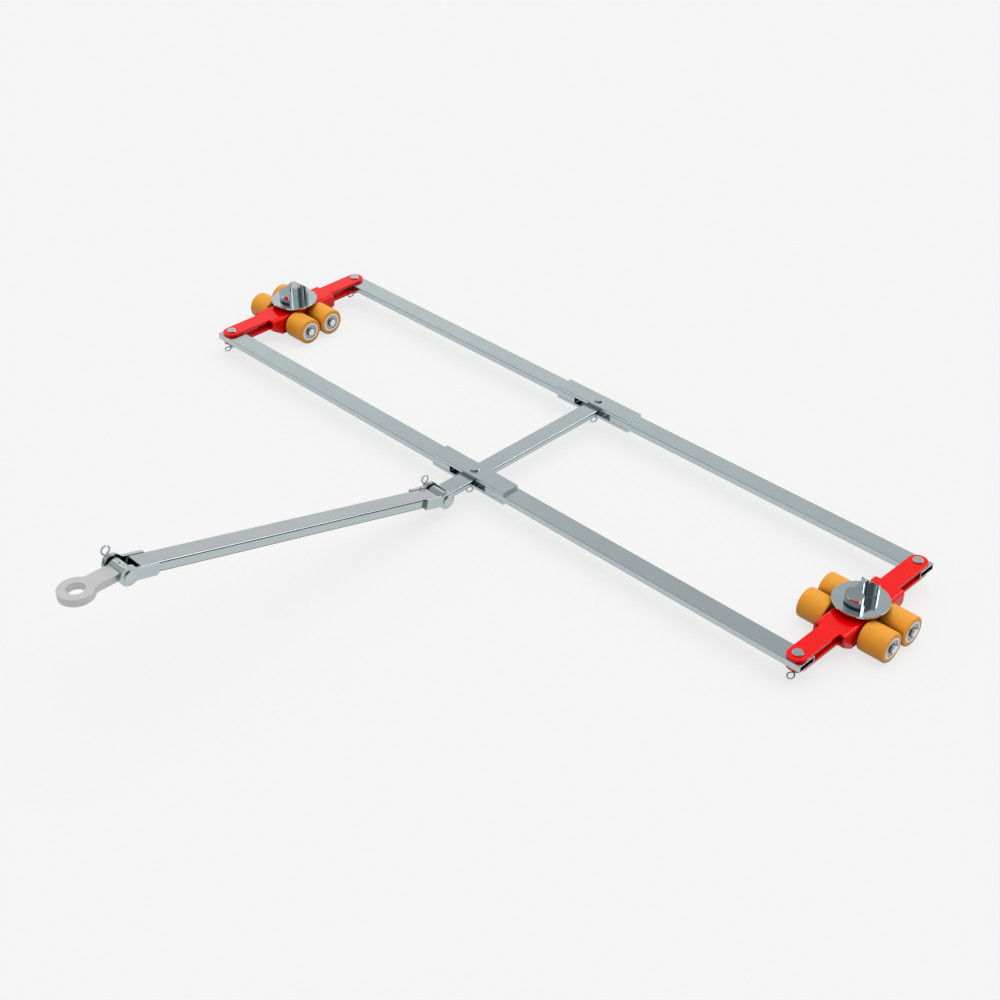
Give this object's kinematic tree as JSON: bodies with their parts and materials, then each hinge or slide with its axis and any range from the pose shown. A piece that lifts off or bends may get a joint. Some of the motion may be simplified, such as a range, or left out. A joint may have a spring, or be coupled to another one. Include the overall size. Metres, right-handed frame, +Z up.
{
  "type": "container moving skate",
  "caption": "Steerable skate set for moving a freight container: roller skates with corner locks, joined by long bars, a crossbar and a hinged drawbar with a towing eye.",
  "frame": {"origin": "on the floor, in the middle of the set's outline", "axes": "+X along the long bars towards the right skate, +Y along the crossbar away from the towing eye, +Z up"},
  "size_m": [2.541, 1.8724, 0.3935],
  "materials": {
    "galvanised": "hot-dip galvanised, satin",
    "zinc_plate": "bright zinc plated",
    "red_paint": "glossy red paint",
    "polyurethane": "smooth cast polyurethane",
    "roller_core": "turned, oiled",
    "bearing_steel": "ground",
    "axle_steel": "drawn bright",
    "polished_steel": "bright zinc, mirror-like"
  },
  "bodies": {
    "front_bar": {"front_tube_left": "galvanised", "front_tube_right": "galvanised", "front_upper_plate": "galvanised", "front_lower_plate": "galvanised", "front_pivot_pin": "zinc_plate", "front_pivot_clip": "zinc_plate"},
    "rear_bar": {"rear_tube_left": "galvanised", "rear_tube_right": "galvanised", "rear_upper_plate": "galvanised", "rear_lower_plate": "galvanised", "rear_pivot_pin": "zinc_plate", "rear_pivot_clip": "zinc_plate"},
    "crossbar": {"crossbar": "galvanised", "crossbar_bush": "galvanised"},
    "drawbar": {"drawbar_tube": "galvanised", "drawbar_rear_ears": "galvanised", "drawbar_front_ears": "galvanised", "hinge_pins": "zinc_plate", "hinge_clips": "zinc_plate"},
    "tow_eye": {"towing_eye": "galvanised", "eye_bush": "galvanised"},
    "left_skate": {"left_skate_frame": "red_paint", "left_lower_arms": "red_paint", "left_pivot_boss": "red_paint", "left_axles": "axle_steel", "left_axle_fittings": "axle_steel", "left_bearings": "bearing_steel", "left_link_pins": "zinc_plate", "left_link_clips": "zinc_plate"},
    "left_turntable": {"left_king_pin": "axle_steel", "left_turntable_disc": "polished_steel", "left_corner_lock": "polished_steel"},
    "left_front_left_roller": {"left_front_left_tyre": "polyurethane", "left_front_left_core": "roller_core"},
    "left_front_right_roller": {"left_front_right_tyre": "polyurethane", "left_front_right_core": "roller_core"},
    "left_rear_left_roller": {"left_rear_left_tyre": "polyurethane", "left_rear_left_core": "roller_core"},
    "left_rear_right_roller": {"left_rear_right_tyre": "polyurethane", "left_rear_right_core": "roller_core"},
    "right_skate": {"right_skate_frame": "red_paint", "right_lower_arms": "red_paint", "right_pivot_boss": "red_paint", "right_axles": "axle_steel", "right_axle_fittings": "axle_steel", "right_bearings": "bearing_steel", "right_link_pins": "zinc_plate", "right_link_clips": "zinc_plate"},
    "right_turntable": {"right_king_pin": "axle_steel", "right_turntable_disc": "polished_steel", "right_corner_lock": "polished_steel"},
    "right_front_left_roller": {"right_front_left_tyre": "polyurethane", "right_front_left_core": "roller_core"},
    "right_front_right_roller": {"right_front_right_tyre": "polyurethane", "right_front_right_core": "roller_core"},
    "right_rear_left_roller": {"right_rear_left_tyre": "polyurethane", "right_rear_left_core": "roller_core"},
    "right_rear_right_roller": {"right_rear_right_tyre": "polyurethane", "right_rear_right_core": "roller_core"}
  },
  "joints": [
    {"name": "steer", "type": "hinge", "parent": "front_bar", "child": "crossbar", "pos_m": [0, 0.38116, 0.0607], "axis": [0, 0, 1], "range_deg": [-35, 35]},
    {"name": "rear_pivot", "type": "hinge", "parent": "crossbar", "child": "rear_bar", "pos_m": [0, 0.90616, 0.0607], "axis": [0, 0, 1], "range_deg": [-35, 35]},
    {"name": "drawbar_pitch", "type": "hinge", "parent": "crossbar", "child": "drawbar", "pos_m": [0, 0.23816, 0.0607], "axis": [-1, 0, 0], "range_deg": [-17, 70]},
    {"name": "eye_pitch", "type": "hinge", "parent": "drawbar", "child": "tow_eye", "pos_m": [0, -0.77116, 0.35012], "axis": [-1, 0, 0], "range_deg": [-75, 75]},
    {"name": "left_steer", "type": "hinge", "parent": "front_bar", "child": "left_skate", "pos_m": [-1.1295, 0.38116, 0.0607], "axis": [0, 0, 1], "range_deg": [-35, 35]},
    {"name": "left_turntable_spin", "type": "hinge", "parent": "left_skate", "child": "left_turntable", "pos_m": [-1.1295, 0.64366, 0.1], "axis": [0, 0, 1], "continuous": true},
    {"name": "left_front_left_spin", "type": "hinge", "parent": "left_skate", "child": "left_front_left_roller", "pos_m": [-1.1295, 0.59866, 0.0425], "axis": [1, 0, 0], "continuous": true},
    {"name": "left_front_right_spin", "type": "hinge", "parent": "left_skate", "child": "left_front_right_roller", "pos_m": [-1.1295, 0.59866, 0.0425], "axis": [1, 0, 0], "continuous": true},
    {"name": "left_rear_left_spin", "type": "hinge", "parent": "left_skate", "child": "left_rear_left_roller", "pos_m": [-1.1295, 0.68866, 0.0425], "axis": [1, 0, 0], "continuous": true},
    {"name": "left_rear_right_spin", "type": "hinge", "parent": "left_skate", "child": "left_rear_right_roller", "pos_m": [-1.1295, 0.68866, 0.0425], "axis": [1, 0, 0], "continuous": true},
    {"name": "right_steer", "type": "hinge", "parent": "front_bar", "child": "right_skate", "pos_m": [1.1295, 0.38116, 0.0607], "axis": [0, 0, 1], "range_deg": [-35, 35]},
    {"name": "right_turntable_spin", "type": "hinge", "parent": "right_skate", "child": "right_turntable", "pos_m": [1.1295, 0.64366, 0.1], "axis": [0, 0, 1], "continuous": true},
    {"name": "right_front_left_spin", "type": "hinge", "parent": "right_skate", "child": "right_front_left_roller", "pos_m": [1.1295, 0.59866, 0.0425], "axis": [1, 0, 0], "continuous": true},
    {"name": "right_front_right_spin", "type": "hinge", "parent": "right_skate", "child": "right_front_right_roller", "pos_m": [1.1295, 0.59866, 0.0425], "axis": [1, 0, 0], "continuous": true},
    {"name": "right_rear_left_spin", "type": "hinge", "parent": "right_skate", "child": "right_rear_left_roller", "pos_m": [1.1295, 0.68866, 0.0425], "axis": [1, 0, 0], "continuous": true},
    {"name": "right_rear_right_spin", "type": "hinge", "parent": "right_skate", "child": "right_rear_right_roller", "pos_m": [1.1295, 0.68866, 0.0425], "axis": [1, 0, 0], "continuous": true}
  ],
  "couplings": [
    {"joint": "rear_pivot", "follows": "steer", "ratio": -1},
    {"joint": "left_steer", "follows": "steer", "ratio": 1},
    {"joint": "right_steer", "follows": "steer", "ratio": 1}
  ]
}
